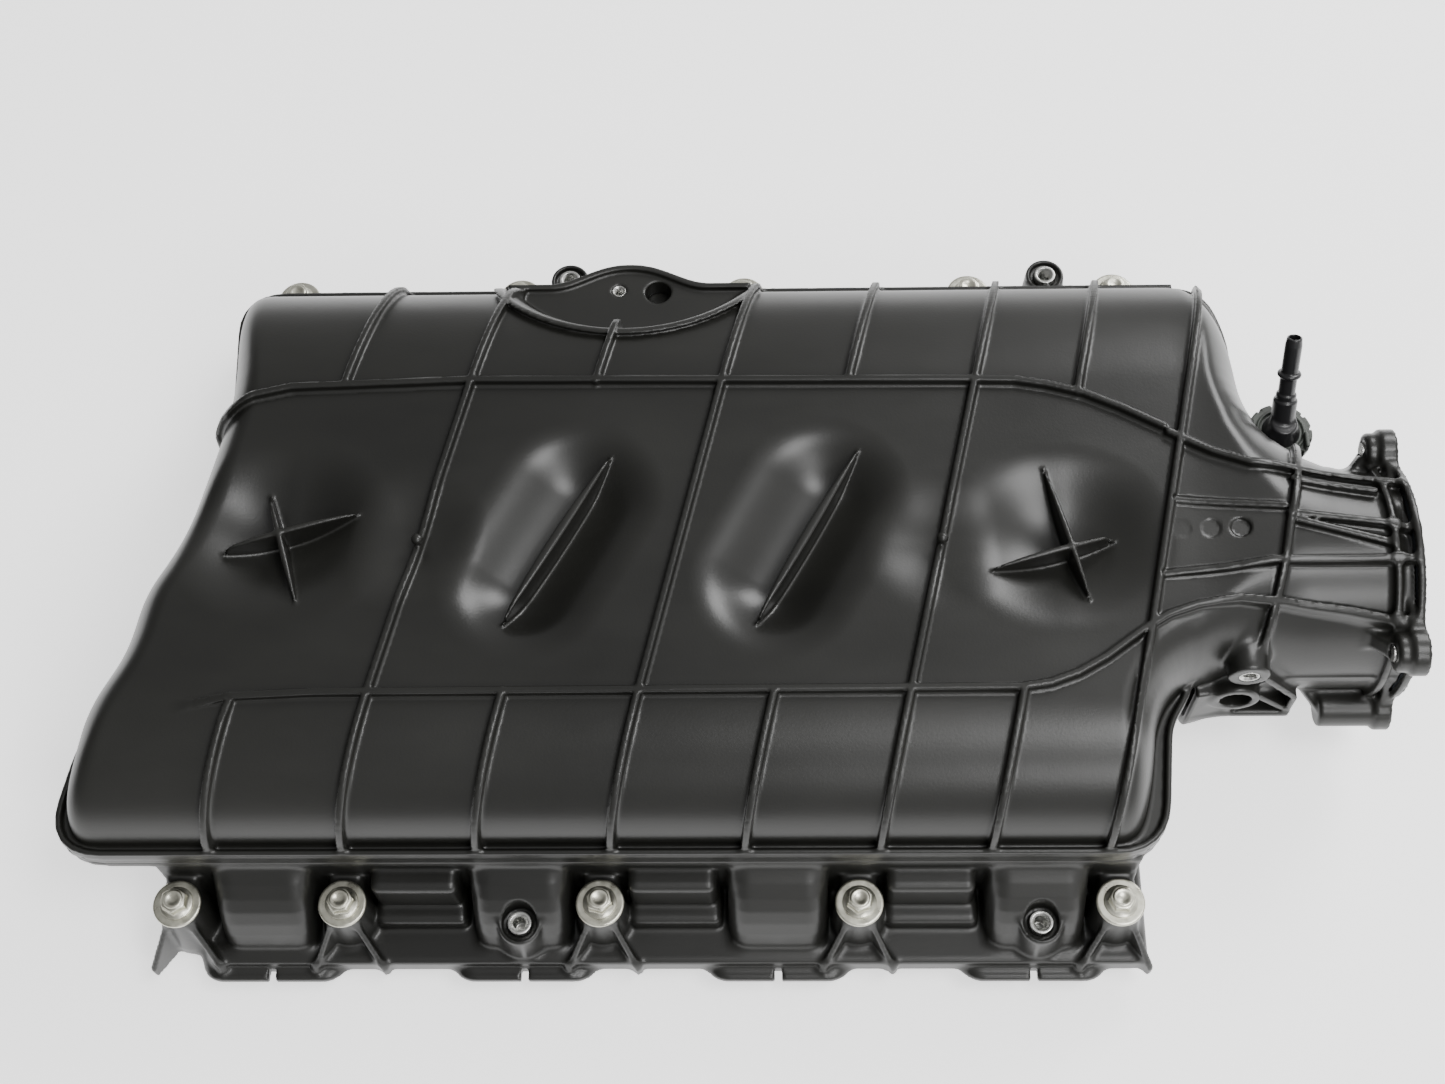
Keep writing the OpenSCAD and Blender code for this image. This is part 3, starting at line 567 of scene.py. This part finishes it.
def lower_bank(x, y, z):
    """One side's port rail, runners and bolt bosses. It is drawn for the near side."""
    port = x - (FIRST_PORT + PORT_PITCH * np.clip(np.round((x - FIRST_PORT) / PORT_PITCH), 0, 3))
    row = np.full(x.shape, 1e3, np.float32)
    for rx in ROW_X:
        row = np.where(np.abs(x - rx) < np.abs(row), x - rx, row)
    ends = np.maximum(-206 - x, x - 208)
    rail = soft_max(np.maximum(-175.5 - y, y + FACE_IN), z - 24, 2.5)
    rail = soft_max(rail, ends, 8)
    lobe = soft_max(np.maximum(-181.5 - y, y + 150), z - 19, 1.5)
    lobe = soft_max(lobe, np.abs(port) - 30 - (y + 181.5) * 0.35, 9)
    d = soft_min(rail, lobe, 3)
    d = np.maximum(d, -np.maximum(np.abs(port) - 1.6, y + 176.5))
    d = soft_min(d, soft_max(runner_outer(y, z), np.abs(port) - 21, 6), 3)
    d = soft_min(d, soft_max(bulge_outline(y, z), np.abs(port) - 20.5, 9), 4)
    skirt = box(x, y, z, (-224, -142, 14), (201, -136, 64), 1)
    d = soft_min(d, skirt, 3)
    # Stepped blocks beside the bolts between two ports
    middle = (np.abs(x) < 160) & (row > 0)
    upper_step = box(row, y, z, (12, -152, 10), (50, -135, 54), 3.5)
    lower_step = box(row, y, z, (12, -160, 10), (52, -135, 33), 3)
    steps = soft_min(upper_step, lower_step, 1.5)
    d = np.where(middle, soft_min(d, steps, 1.8), d)
    # Bolt bosses with splayed gussets
    radius = mix(12.2, 9.6, np.clip((z - 20) / 28, 0, 1))
    boss = rod(row, y, z, 0, -BOLT_Y, radius, 10, SEAT_Z - 2, 1)
    for turn in (-36, 36):
        c, s = math.cos(math.radians(turn)), math.sin(math.radians(turn))
        u = -(y + BOLT_Y) * c - row * s
        v = row * c - (y + BOLT_Y) * s
        gusset = soft_max(np.abs(v) - 1.3, np.maximum(u - 27, 2 - u), 1)
        slope = (z - 45) * 0.6 + (u - 9) * 0.78
        boss = soft_min(boss, np.maximum(soft_max(gusset, slope, 1), 14 - z), 2)
    back = box(row, y, z, (-7.5, -BOLT_Y, 12), (7.5, -136, 47), 3)
    boss = soft_min(boss, back, 4)
    return soft_min(d, boss, 3)


def lower_shell(x, y, z):
    turn = np.where(y < 0, 1.0, -1.0).astype(np.float32)
    bx, by = x * turn, y * turn
    port = bx - (FIRST_PORT + PORT_PITCH * np.clip(np.round((bx - FIRST_PORT) / PORT_PITCH), 0, 3))
    d = lower_bank(bx, by, z)
    plan = plan_distance(x, y)
    trough = soft_max(trough_outline(y, z), plan + 2, 4)
    trough = np.maximum(trough, x - 226)
    d = soft_min(d, trough, 3)
    flat = np.maximum(61 - z, z - 66)
    rim = soft_max(rim_outline(x, y), flat, 1.2)
    d = soft_min(d, np.maximum(rim, -(plan + 14)), 2)
    for i, (sx, sy, top) in enumerate(STUDS):
        radius = 11.2 - 1.8 * np.clip((z - 16) / (top - 16), 0, 1)
        stud = rod(x, y, z, sx, sy, radius, 10, top - 0.4, 1.6)
        side = -1 if sy < 0 else 1
        fin = box(x, y * side, z, (sx - 1.4, 134, 12), (sx + 1.4, abs(sy), top + 4), 1)
        if i < 2:
            fin = np.maximum(fin, (z - top - 4) * 0.7 - (abs(sy) - 8 - y * side) * 0.7)
        d = soft_min(d, soft_min(stud, fin, 1.5), 3)
    # Air passages
    inner = soft_max(runner_inner(by, z), np.abs(port) - 17, 5)
    d = np.maximum(d, -inner)
    d = np.maximum(d, -np.maximum(trough + WALL, 20 - z))
    d = np.maximum(d, z - 66)
    # Port faces, seal grooves and holes for the sleeves and inserts
    face = (z - (-FACE_IN - by) * TAN_FACE) * math.cos(math.radians(12))
    face = np.where(by < -FACE_IN + 1, face, 1e3)
    d = np.maximum(d, -face)
    slant = (by + FACE_MID) / math.cos(math.radians(12))
    ring = np.abs(round_rect(port, slant, 19.5 + 1.5, 23.5 + 1.5, 9.0)) - 1.5
    d = np.maximum(d, -np.maximum(ring, face - 2.5))
    for rx in ROW_X:
        d = np.maximum(d, -(np.maximum(np.hypot(bx - rx, by + BOLT_Y) - 5.5, z - SEAT_Z + 1)))
    for sx, sy, top in STUDS:
        d = np.maximum(d, -rod(x, y, z, sx, sy, 5.2, top - 12, top + 9, 0.2))
        d = soft_max(d, -rod(x, y, z, sx, sy, 7.6, top - 3.5, top + 9, 0.3), 0.4)
    section = round_rect(y + 7, z - 66.5, 63.0, 46.5, 20.0)
    return np.maximum(d, -np.maximum(section - 1, 222 - x))


# Small parts, drawn about their own axis

def hex_bolt(x, y, z):
    """A flange bolt. z is measured from its seat."""
    r = np.hypot(x, y)
    flange = soft_max(r - 7.2, np.maximum(-z, z - 0.9), 0.4)
    cone = np.maximum(r - 7.2 + 1.5 * np.clip(z - 0.7, 0, 3), np.maximum(-z, z - 2.4))
    d = soft_min(flange, cone, 0.4)
    sides = np.maximum(np.abs(x * 0.5 + y * SIN_60), np.abs(x * 0.5 - y * SIN_60))
    across = np.maximum(np.abs(x), sides)
    head = soft_max(across - 5.0, np.maximum(1 - z, z - 6.2), 0.4)
    head = soft_max(head, (r - 5.0 + (z - 6.2) * 1.4) * 0.58, 0.3)
    d = soft_min(d, head, 0.8)
    pilot = soft_max(r - 4.1, np.maximum(5 - z, z - 7.0), 0.5)
    d = soft_min(d, pilot, 0.4)
    dish = np.sqrt(x * x + y * y + (z - 12.5) ** 2) - 6.2
    d = soft_max(d, -dish, 0.3)
    shank = np.maximum(r - 3.0, np.maximum(-48 - z, z - 1))
    shank = np.maximum(shank, (r - 2.2 - np.maximum(z + 44, 0)) * 0.7)
    thread = 0.25 * np.abs(((z / 1.0 - np.arctan2(y, x) / (2 * math.pi)) % 1.0) * 2 - 1)
    return np.minimum(d, np.where(z < -24, shank + thread, shank))


def sleeve(x, y, z):
    r = np.hypot(x, y)
    tube = np.maximum(r - 5.5, np.maximum(11 - z, z - 49))
    ring = soft_max(r - 10.5, np.maximum(48 - z, z - 50), 0.7)
    return soft_max(soft_min(tube, ring, 0.5), -(r - 3.5), 0.5)


def insert(outer, bore, length):
    """A threaded metal insert that opens along +z, with a chamfer round its mouth."""
    def field(x, y, z):
        r = np.hypot(x, y)
        d = soft_max(r - outer, np.maximum(-z, z - length), 0.4)
        thread = 0.4 * np.abs(((z / 1.0 - np.arctan2(y, x) / (2 * math.pi)) % 1.0) * 2 - 1)
        hole = np.maximum(r - bore + thread, 1.5 - z)
        mouth = (r - bore - (z - length + 0.9)) * 0.7
        return np.maximum(d, -np.minimum(hole, mouth))
    return field


def fitting(x, y, z):
    """The vacuum fitting, with z measured from its seat."""
    r = np.hypot(x, y)
    d = soft_max(r - 5.0, np.maximum(-14 - z, z - 6), 0.5)
    shoulder = mix(9.0, 6.0, np.clip((z - 6) / 8, 0, 1))
    d = soft_min(d, soft_max(r - shoulder, np.maximum(5.5 - z, z - 14), 1), 1)
    c, s = math.cos(math.radians(30)), math.sin(math.radians(30))
    v = (y - 2) * c - (z - 9) * s
    w = (y - 2) * s + (z - 9) * c
    q = np.hypot(x, v)
    d = soft_min(d, soft_max(q - 5.6, np.maximum(-w, w - 14), 1), 1.5)
    tube = soft_max(q - 3.95 + 0.5 * np.clip((w - 42) / 4, 0, 1), np.maximum(-w, w - 46), 0.8)
    bead = np.hypot(np.maximum(q - 4.4, 0), w - 27) - 1.1
    stop = soft_max(q - 4.7, np.maximum(14 - w, w - 17), 0.6)
    d = soft_min(soft_min(soft_min(d, tube, 0.6), bead, 0.5), stop, 0.6)
    flat = np.abs(x) - 0.9
    d = soft_min(d, soft_max(flat, np.maximum(np.maximum(v - 7.4, -v), np.maximum(-w, w - 13)), 0.4), 0.8)
    d = np.maximum(d, -np.maximum(q - 2.6, -w))
    return np.maximum(d, -np.maximum(r - 2.5, z - 10))


def collar(x, y, z):
    """The collar under the fitting: a chamfered disc with grip notches and a latch fin."""
    r = np.hypot(x, y)
    a = np.arctan2(y, x)
    d = soft_max(r - 15, np.maximum(-z, z - 6), 1.2)
    ring = soft_max(np.abs(r - 10.8) - 0.6, np.maximum(5 - z, z - 7), 0.5)
    d = soft_min(d, ring, 0.6)
    notch = (np.abs(((a / (2 * math.pi) * 12 + 0.25) % 1.0) - 0.5) - 0.13) * 2 * math.pi / 12 * r
    d = soft_max(d, -np.maximum(np.maximum(notch, 13.6 - r), 2.2 - z), 0.4)
    fin = box(x, y, z, (10, -10, 4), (12, -2, 9.5), 0.7)
    return soft_max(soft_min(d, fin, 0.8), -(r - 5.0), 0.3)


# Materials

def shader(name, metal=0.0):
    material = bpy.data.materials.new(name)
    material.use_nodes = True
    tree = material.node_tree
    surface = tree.nodes["Principled BSDF"]
    surface.inputs["Metallic"].default_value = metal
    return material, tree, surface


def noise(tree, scale, detail=4.0, roughness=0.5, stretch=(1, 1, 1)):
    coordinates = tree.nodes.new("ShaderNodeTexCoord")
    mapping = tree.nodes.new("ShaderNodeMapping")
    mapping.inputs["Scale"].default_value = stretch
    texture = tree.nodes.new("ShaderNodeTexNoise")
    texture.inputs["Scale"].default_value = scale
    texture.inputs["Detail"].default_value = detail
    texture.inputs["Roughness"].default_value = roughness
    tree.links.new(coordinates.outputs["Object"], mapping.inputs["Vector"])
    tree.links.new(mapping.outputs["Vector"], texture.inputs["Vector"])
    return texture.outputs["Fac"]


def ramp(tree, fac, stops):
    node = tree.nodes.new("ShaderNodeValToRGB")
    elements = node.color_ramp.elements
    while len(elements) < len(stops):
        elements.new(0.5)
    for element, (position, colour) in zip(elements, stops):
        element.position = position
        element.color = (*colour, 1)
    tree.links.new(fac, node.inputs["Fac"])
    return node.outputs["Color"]


def spread(tree, fac, low, high):
    node = tree.nodes.new("ShaderNodeMapRange")
    node.inputs["From Min"].default_value = 0.3
    node.inputs["From Max"].default_value = 0.7
    node.inputs["To Min"].default_value = low
    node.inputs["To Max"].default_value = high
    tree.links.new(fac, node.inputs["Value"])
    return node.outputs["Result"]


def bump(tree, fac, strength, distance, under=None):
    node = tree.nodes.new("ShaderNodeBump")
    node.inputs["Strength"].default_value = strength
    node.inputs["Distance"].default_value = distance
    tree.links.new(fac, node.inputs["Height"])
    if under:
        tree.links.new(under, node.inputs["Normal"])
    return node.outputs["Normal"]


def nylon(name, dark, light, rough):
    """Moulded glass-filled nylon: nearly black, satin, with faint flow marks and a fine grain."""
    material, tree, surface = shader(name)
    clouds = noise(tree, 9.0, 5.0, 0.55, (0.6, 1.4, 1.0))
    grain = noise(tree, 900.0, 2.0)
    wave = noise(tree, 24.0, 2.0, 0.4)
    tree.links.new(ramp(tree, clouds, [(0.3, dark), (0.75, light)]), surface.inputs["Base Color"])
    tree.links.new(spread(tree, clouds, rough - 0.05, rough + 0.06), surface.inputs["Roughness"])
    low = bump(tree, wave, 0.12, 0.002)
    tree.links.new(bump(tree, grain, 0.16, 0.0002, low), surface.inputs["Normal"])
    surface.inputs["Specular IOR Level"].default_value = 0.5
    return material


def plated(name, tones, rough, scratch=0.2):
    """Plated steel with a mottled finish."""
    material, tree, surface = shader(name, 1.0)
    patches = noise(tree, 160.0, 6.0, 0.62)
    fine = noise(tree, 1500.0, 3.0)
    tree.links.new(ramp(tree, patches, tones), surface.inputs["Base Color"])
    tree.links.new(spread(tree, patches, rough - 0.1, rough + 0.12), surface.inputs["Roughness"])
    tree.links.new(bump(tree, fine, scratch, 0.0001), surface.inputs["Normal"])
    return material


black = nylon("moulded_nylon", (0.0075, 0.0075, 0.0065), (0.014, 0.014, 0.012), 0.33)
dark_black = nylon("lower_nylon", (0.009, 0.009, 0.008), (0.018, 0.018, 0.016), 0.37)
fitting_black = nylon("fitting_nylon", (0.010, 0.010, 0.011), (0.020, 0.020, 0.021), 0.34)
collar_grey = nylon("collar_nylon", (0.040, 0.046, 0.040), (0.075, 0.082, 0.070), 0.5)
rubber = nylon("seal_rubber", (0.020, 0.024, 0.030), (0.040, 0.046, 0.055), 0.6)
ZINC_TONES = [(0.25, (0.42, 0.41, 0.34)), (0.55, (0.62, 0.61, 0.52)), (0.8, (0.78, 0.77, 0.67))]
zinc = plated("zinc_plating", ZINC_TONES, 0.33)
steel = plated("turned_steel", [(0.3, (0.45, 0.45, 0.43)), (0.7, (0.68, 0.68, 0.66))], 0.28)

MATERIAL_OF_SLOT = {
    "black_nylon": black, "zinc_steel": zinc, "plain_steel": steel,
    "seal_rubber": rubber, "fitting_black": fitting_black, "collar_grey": collar_grey,
}
slot_of_node = {s["node"]: s["material_slot"] for s in frame["record"]["subparts"]}
for node_name, node_object in frame["nodes"].items():
    node_object.data.materials.clear()
    node_object.data.materials.append(MATERIAL_OF_SLOT[slot_of_node[node_name]])

# Pieces
shell_step = 1.0
upper_mesh = field_mesh("upper_moulding", upper_shell, (-270, -150, 12), (325, 165, 124), shell_step)
add_piece("upper_moulding", upper_mesh, black, "manifold", ["upper_shell"])
lower_mesh = field_mesh("lower_moulding", lower_shell, (-270, -188, -3), (270, 188, 70), shell_step * 1.1)
add_piece("lower_moulding", lower_mesh, dark_black, "manifold", ["lower_shell"])


def bolt_at(n):
    return (ROW_X[n], -BOLT_Y) if n < 5 else (-ROW_X[n - 5], BOLT_Y)


def copy_mesh(mesh, name, matrix):
    made = mesh.copy()
    made.name = name
    made.transform(matrix)
    return made


def place(x, y, z, turn=0.0, axis="Z"):
    """Where a small part goes. Its mesh was drawn about the engine's middle."""
    spot = Matrix.Translation(Vector((x + SHIFT_X, y, z)) * MM)
    turned = Matrix.Rotation(math.radians(turn), 4, axis)
    return spot @ turned @ Matrix.Translation(Vector((-SHIFT_X, 0, 0)) * MM)


bolt_mesh = field_mesh("bolt", hex_bolt, (-8, -8, -49), (8, 8, 8), 0.3)
sleeve_mesh = field_mesh("sleeve", sleeve, (-11.5, -11.5, 10), (11.5, 11.5, 51), 0.5)
for n in range(10):
    bx, by = bolt_at(n)
    label = n + 1
    turned = place(bx, by, SEAT_Z, 37.0 * n)
    add_piece(
        f"bolt_{label}_detail", copy_mesh(bolt_mesh, f"bolt_{label}", turned), zinc,
        f"bolt_{label}", [f"intake_bolt_{label}"])
    add_piece(
        f"sleeve_{label}_detail", copy_mesh(sleeve_mesh, f"sleeve_{label}", place(bx, by, 0)), zinc,
        "manifold", [f"bolt_sleeve_{label}"])

stud_mesh = field_mesh("stud", insert(5.2, 3.0, 12.0), (-6, -6, -1), (6, 6, 13), 0.3)
for n, (sx, sy, top) in enumerate(STUDS):
    node = f"cover_insert_{n + 1}"
    mesh = copy_mesh(stud_mesh, node, place(sx, sy, top - 12))
    add_piece(f"{node}_detail", mesh, steel, "manifold", [node])
screw_mesh = field_mesh("edge_screw", insert(3.2, 2.0, 8.0), (-4, -4, -1), (4, 4, 9), 0.25)
add_piece(
    "edge_screw_insert", copy_mesh(screw_mesh, "edge_screw_insert", place(*EDGE_SCREW, 72)),
    steel, "manifold", ["sensor_screw_insert"])
side_mesh = field_mesh("side_screw", insert(4.5, 3.0, 12.0), (-5, -5, -1), (5, 5, 13), 0.3)
add_piece(
    "side_screw_insert",
    copy_mesh(side_mesh, "side_screw_insert", place(SIDE_SCREW[0], -56, SIDE_SCREW[1], 90, "X")),
    steel, "manifold", ["side_sensor_insert"])
tube_mesh = field_mesh("fitting", fitting, (-10, -10, -15), (10, 40, 52), 0.45)
add_piece(
    "vacuum_fitting_detail", copy_mesh(tube_mesh, "vacuum_fitting_detail", place(*FIT)),
    fitting_black, "manifold", ["vacuum_fitting"])
collar_mesh = field_mesh("collar", collar, (-16, -16, -1), (16, 16, 11), 0.4)
add_piece(
    "fitting_collar", copy_mesh(collar_mesh, "fitting_collar", place(*FIT)),
    collar_grey, "manifold", ["fitting_cap"])

# Stage
floor_mesh = bpy.data.meshes.new("floor")
floor_mesh.from_pydata([(-6, -6, 0), (6, -6, 0), (6, 6, 0), (-6, 6, 0)], [], [(0, 1, 2, 3)])
floor = bpy.data.objects.new("floor", floor_mesh)
bpy.context.scene.collection.objects.link(floor)
floor_material, _, floor_surface = shader("pale_floor")
floor_surface.inputs["Base Color"].default_value = (0.93, 0.93, 0.93, 1)
floor_surface.inputs["Roughness"].default_value = 0.9
floor_surface.inputs["Emission Color"].default_value = (1, 1, 1, 1)
floor_surface.inputs["Emission Strength"].default_value = 1.2
floor_mesh.materials.append(floor_material)
floor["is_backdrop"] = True

world = bpy.data.worlds.new("studio")
world.use_nodes = True
world_tree = world.node_tree
# The room gets brighter along X, from dark on the left.
room = world_tree.nodes.new("ShaderNodeTexCoord")
axes = world_tree.nodes.new("ShaderNodeSeparateXYZ")
across_room = world_tree.nodes.new("ShaderNodeMapRange")
across_room.inputs["From Min"].default_value = -1.0
across_room.inputs["From Max"].default_value = 1.0
across_room.inputs["To Min"].default_value = 0.12
across_room.inputs["To Max"].default_value = 1.05
world_tree.links.new(room.outputs["Generated"], axes.inputs["Vector"])
world_tree.links.new(axes.outputs["X"], across_room.inputs["Value"])
world_tree.links.new(across_room.outputs["Result"], world_tree.nodes["Background"].inputs["Strength"])
world_tree.nodes["Background"].inputs["Color"].default_value = (1, 1, 1, 1)
bpy.context.scene.world = world


def soft_light(name, spot, size, power):
    """A square lamp that looks at the middle of the part."""
    data = bpy.data.lights.new(name, "AREA")
    data.shape = "SQUARE"
    data.size = size
    data.energy = power
    lamp = bpy.data.objects.new(name, data)
    bpy.context.scene.collection.objects.link(lamp)
    lamp.location = spot
    lamp.rotation_mode = "QUATERNION"
    lamp.rotation_quaternion = (Vector((0, 0, 0.05)) - Vector(spot)).to_track_quat("-Z", "Y")


# Name, place, size in metres and power in watts
LAMPS = [
    ("overhead", (0.82, -0.33, 2.15), 0.8, 26),
    ("window", (0.66, -1.22, 1.36), 0.5, 11),
    ("back", (0.95, 1.1, 1.1), 0.7, 18),
]
for lamp in LAMPS:
    soft_light(*lamp)

# Camera
camera_data = bpy.data.cameras.new("camera")
camera_data.lens = 49.83
camera_data.sensor_width = 36.0
camera = bpy.data.objects.new("camera", camera_data)
bpy.context.scene.collection.objects.link(camera)
right = Vector((0.99963556, 0.00575642, -0.02637444))
down = Vector((-0.00674725, -0.8927138, -0.45057358))
forward = Vector((-0.02613851, 0.45058733, -0.89234962))
turn_matrix = Matrix((right, -down, -forward)).transposed()
camera.matrix_world = Matrix.Translation(Vector((0.01756, -0.40533, 0.88781))) @ turn_matrix.to_4x4()
bpy.context.scene.camera = camera

visual_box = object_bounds()
boxes = {"cad": cad_box, "visual": visual_box}
{name: [list(lo), list(hi)] for name, (lo, hi) in boxes.items()}
